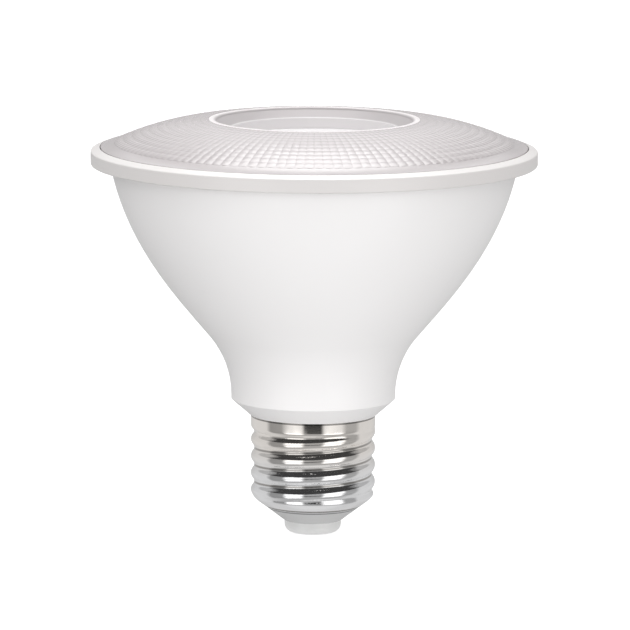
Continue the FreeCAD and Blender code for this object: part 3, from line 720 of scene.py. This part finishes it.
def add_camera():
    """The camera on the side of the photo."""
    studio = bpy.context.scene.lamp_studio
    data = bpy.data.cameras.new("camera")
    data.lens = studio.lens_length
    data.sensor_width = 36.0
    data.shift_x = studio.shift_x
    data.shift_y = studio.shift_y
    data.clip_start, data.clip_end = 0.05, 50.0
    camera = bpy.data.objects.new("camera", data)
    camera.location = (0.0, -studio.distance, studio.height)
    camera.rotation_mode = "ZYX"
    camera.rotation_euler = (math.pi / 2 - studio.pitch, 0.0, studio.roll)
    bpy.context.scene.collection.objects.link(camera)
    bpy.context.scene.camera = camera


def build_studio():
    """Adds the camera, the floor and the light."""
    studio = bpy.context.scene.lamp_studio
    scene = bpy.context.scene
    add_camera()
    bm = bmesh.new()
    bmesh.ops.create_grid(bm, x_segments=2, y_segments=2, size=studio.floor_size / 2)
    mesh = bpy.data.meshes.new("floor")
    bm.to_mesh(mesh)
    bm.free()
    floor = bpy.data.objects.new("floor", mesh)
    scene.collection.objects.link(floor)
    mesh.materials.append(floor_material())
    build_world()
    scene.view_settings.view_transform = "Standard"
    scene.view_settings.look = "None"
    scene.cycles.max_bounces = 24
    scene.cycles.transmission_bounces = 24
    scene.cycles.glossy_bounces = 8


def floor_material():
    """Glowing white paper that only the camera sees, so that the tent lights the lamp from below."""
    material, tree, surface = bare_material("Pale Floor")
    paper = tree.add("ShaderNodeBsdfPrincipled")
    set_constants(paper.inputs, Base_Color=(0.4, 0.4, 0.4, 1.0), Roughness=0.9, Specular_IOR_Level=0.1,
                  Emission_Color=(1.0, 1.0, 1.0, 1.0), Emission_Strength=0.75)
    nothing = tree.add("ShaderNodeBsdfTransparent")
    seen = tree.add("ShaderNodeLightPath").outputs["Is Camera Ray"]
    tree.feed(surface, tree.mix_shader(seen, nothing.outputs[0], paper.outputs[0]))
    return material


# Light round the lamp, in bands from underneath to overhead. Each band is a list of (share, level),
# and the share of the turn goes from behind (0) over the left (0.25), the front (0.5) and the right
# (0.75) to behind (1). Plain surfaces get the soft levels, and shiny ones mirror the boxes.
SOFT = {
    "underneath": [(0.0, 0.98), (1.0, 0.98)],
    "below": [(0.0, 0.0), (0.34, 0.05), (0.39, 0.35), (0.43, 0.7), (0.47, 0.9), (0.53, 1.0),
              (0.57, 1.0), (0.61, 0.85), (0.66, 0.63), (0.78, 0.54), (0.84, 0.32), (0.92, 0.0),
              (1.0, 0.0)],
    "beside": [(0.0, 1.07), (0.08, 0.59), (0.16, 0.0), (0.27, 0.0), (0.32, 0.55), (0.38, 1.75),
               (0.43, 2.4), (0.47, 2.55), (0.53, 2.4), (0.57, 1.9), (0.61, 1.3), (0.67, 0.75),
               (0.74, 0.1), (0.84, 0.0), (0.92, 0.59), (1.0, 1.07)],
    "above": [(0.0, 2.7), (0.08, 2.65), (0.16, 2.4), (0.22, 2.0), (0.28, 1.6), (0.34, 1.04),
              (0.39, 0.8), (0.43, 0.85), (0.57, 0.85), (0.61, 0.75), (0.66, 0.7), (0.72, 1.15),
              (0.78, 1.8), (0.84, 2.25), (0.92, 2.6), (1.0, 2.7)],
    "overhead": [(0.0, 1.3), (1.0, 1.3)],
}
BOXES = {
    "underneath": [(0.0, 0.8), (1.0, 0.8)],
    "below": [(0.0, 0.7), (0.2, 0.7), (0.3, 0.5), (0.45, 0.45), (0.55, 0.45), (0.7, 0.5), (0.8, 0.7),
              (1.0, 0.7)],
    "low boxes": [(0.0, 0.55), (0.12, 0.75), (0.23, 0.75), (0.26, 0.32), (0.335, 0.32), (0.36, 1.5),
                  (0.435, 1.5), (0.455, 0.42), (0.545, 0.42), (0.565, 1.5), (0.655, 1.5), (0.68, 0.4),
                  (0.74, 0.4), (0.77, 0.75), (0.88, 0.75), (1.0, 0.55)],
    "camera": [(0.0, 0.55), (0.12, 0.75), (0.23, 0.75), (0.26, 0.32), (0.33, 0.36), (0.37, 0.85),
               (0.41, 1.05), (0.44, 0.9), (0.458, 0.04), (0.542, 0.04), (0.56, 0.9), (0.59, 1.05),
               (0.65, 0.85), (0.68, 0.45), (0.74, 0.45), (0.77, 0.75), (0.88, 0.75), (1.0, 0.55)],
    "high boxes": [(0.0, 0.5), (0.12, 0.7), (0.23, 0.75), (0.26, 0.32), (0.335, 0.32), (0.36, 1.5),
                   (0.435, 1.5), (0.455, 0.42), (0.545, 0.42), (0.565, 1.5), (0.655, 1.5), (0.68, 0.4),
                   (0.74, 0.4), (0.77, 0.75), (0.88, 0.7), (1.0, 0.5)],
    "above": [(0.0, 1.8), (0.03, 1.3), (0.065, 0.45), (0.2, 0.5), (0.26, 0.05), (0.74, 0.05), (0.8, 0.5),
              (0.935, 0.45), (0.97, 1.3), (1.0, 1.8)],
    "overhead": [(0.0, 0.5), (0.22, 0.4), (0.27, 0.05), (0.73, 0.05), (0.78, 0.4), (1.0, 0.5)],
}
# Where each band fades into the next, as the z of the unit direction
SOFT_LIMITS = [(-0.85, -0.75), (-0.28, -0.18), (0.32, 0.42), (0.76, 0.86)]
BOX_LIMITS = [(-0.93, -0.85), (-0.64, -0.56), (-0.27, -0.22), (-0.13, -0.08), (0.28, 0.36), (0.93, 0.97)]
LEVEL_SCALE = 5.0  # the colour ramps hold the levels divided by this
# The round box overhead: its direction, the cosines where it is full and where it ends, and its level
DISC = {"aim": (0.0, 0.4, 0.9165), "inner": 0.97, "outer": 0.9, "level": 5.5}


def level_ramp(tree, share, stops):
    """The level at a share of the turn, between the stops of one band."""
    ramp = tree.add("ShaderNodeValToRGB")
    tree.feed(ramp.inputs[0], share)
    elements = ramp.color_ramp.elements
    while len(elements) < len(stops):
        elements.new(0.5)
    for element, (place, level) in zip(elements, stops):
        element.position = place
        element.color = (*[level / LEVEL_SCALE] * 3, 1.0)
    return tree.math("MULTIPLY", ramp.outputs[0], LEVEL_SCALE)


def between(tree, share, first, second):
    """A value that goes from first to second as share goes from 0 to 1."""
    return tree.math("ADD", tree.math("MULTIPLY", first, tree.math("SUBTRACT", 1.0, share)),
                     tree.math("MULTIPLY", share, second))


def tent_level(tree, share, height, bands, limits):
    """Joins the bands from underneath to overhead."""
    ramps = [level_ramp(tree, share, stops) for stops in bands.values()]
    joined = ramps[0]
    for ramp, limit in zip(ramps[1:], limits):
        joined = between(tree, tree.rise(height, *limit), joined, ramp)
    return joined


def disc_level(tree, direction, aim, inner, outer, level):
    """A round soft box round the direction aim, which fades between the cosines inner and outer."""
    node = tree.add("ShaderNodeVectorMath", operation="DOT_PRODUCT")
    tree.feed(node.inputs[0], direction)
    tree.feed(node.inputs[1], aim)
    return tree.spread(node.outputs["Value"], outer, inner, 0.0, level)


def build_world():
    """A light tent: boxes left and right of the camera, dimmer sides, and a bright disc overhead."""
    world = bpy.data.worlds.new("studio")
    bpy.context.scene.world = world
    world.use_nodes = True
    world.node_tree.nodes.clear()
    tree = Tree(world.node_tree)
    direction = tree.add("ShaderNodeTexCoord").outputs["Generated"]
    x, y, z = tree.apart(direction)
    around = tree.math("ARCTAN2", x, tree.math("MULTIPLY", y, -1.0))
    share = tree.rise(around, -math.pi, math.pi)
    rays = tree.add("ShaderNodeLightPath").outputs
    soft = tent_level(tree, share, z, SOFT, SOFT_LIMITS)
    boxes = tent_level(tree, share, z, BOXES, BOX_LIMITS)
    boxes = tree.math("ADD", boxes, disc_level(tree, direction, **DISC))
    level = between(tree, rays["Is Glossy Ray"], soft, boxes)
    lit, plain = (tree.add("ShaderNodeBackground") for _ in range(2))
    for background, strength in ((lit, level), (plain, 1.0)):
        tree.feed(background.inputs["Color"], (1.0, 1.0, 1.0, 1.0))
        tree.feed(background.inputs["Strength"], strength)
    output = tree.add("ShaderNodeOutputWorld")
    seen = tree.mix_shader(rays["Is Camera Ray"], lit.outputs[0], plain.outputs[0])
    tree.feed(output.inputs["Surface"], seen)


# Operators

class LAMP_OT_effects(bpy.types.Operator):
    """Make the shared surface effects"""

    bl_idname = "lamp.effects"
    bl_label = "Surface Effects"

    def execute(self, context):
        effects["skin"] = make_moulded_skin()
        effects["metal"] = make_drawn_metal()
        return {"FINISHED"}


class LAMP_OT_lens(bpy.types.Operator):
    """Build the clear lens with its pillows"""

    bl_idname = "lamp.lens"
    bl_label = "Pillow Lens"

    def execute(self, context):
        build_lens()
        return {"FINISHED"}


class LAMP_OT_outside(bpy.types.Operator):
    """Finish the housing, the ring and the cap"""

    bl_idname = "lamp.outside"
    bl_label = "Outer Finishes"

    def execute(self, context):
        dress_outside()
        return {"FINISHED"}


class LAMP_OT_inside(bpy.types.Operator):
    """Finish the pieces inside the housing"""

    bl_idname = "lamp.inside"
    bl_label = "Inner Finishes"

    def execute(self, context):
        dress_inside()
        return {"FINISHED"}


class LAMP_OT_studio(bpy.types.Operator):
    """Set up the camera, the floor and the light"""

    bl_idname = "lamp.studio"
    bl_label = "Studio"

    def execute(self, context):
        build_studio()
        return {"FINISHED"}


class LAMP_PT_pieces(bpy.types.Panel):
    """Lists the lamp's operators and sizes"""

    bl_idname = "LAMP_PT_pieces"
    bl_label = "Spotlight Bulb"
    bl_space_type = "VIEW_3D"
    bl_region_type = "UI"
    bl_category = "Lamp"

    def draw(self, context):
        for operator in OPERATORS:
            self.layout.operator(operator.bl_idname)
        for group in (context.scene.lamp_lens, context.scene.lamp_finish, context.scene.lamp_studio):
            box = self.layout.box()
            for name in group.__annotations__:
                box.prop(group, name)


OPERATORS = (LAMP_OT_effects, LAMP_OT_lens, LAMP_OT_outside, LAMP_OT_inside, LAMP_OT_studio)
GROUPS = {"lamp_lens": LampLensSizes, "lamp_finish": LampFinish, "lamp_studio": LampStudio}


def register():
    for kind in (*GROUPS.values(), *OPERATORS, LAMP_PT_pieces):
        bpy.utils.register_class(kind)
    for name, kind in GROUPS.items():
        setattr(bpy.types.Scene, name, PointerProperty(type=kind))


def unregister():
    for name in GROUPS:
        delattr(bpy.types.Scene, name)
    for kind in (LAMP_PT_pieces, *reversed(OPERATORS), *reversed(list(GROUPS.values()))):
        bpy.utils.unregister_class(kind)


def main():
    """Builds everything with the operators."""
    register()
    bpy.ops.lamp.effects()
    bpy.ops.lamp.lens()
    bpy.ops.lamp.outside()
    bpy.ops.lamp.inside()
    bpy.ops.lamp.studio()


if __name__ == "__main__":
    main()
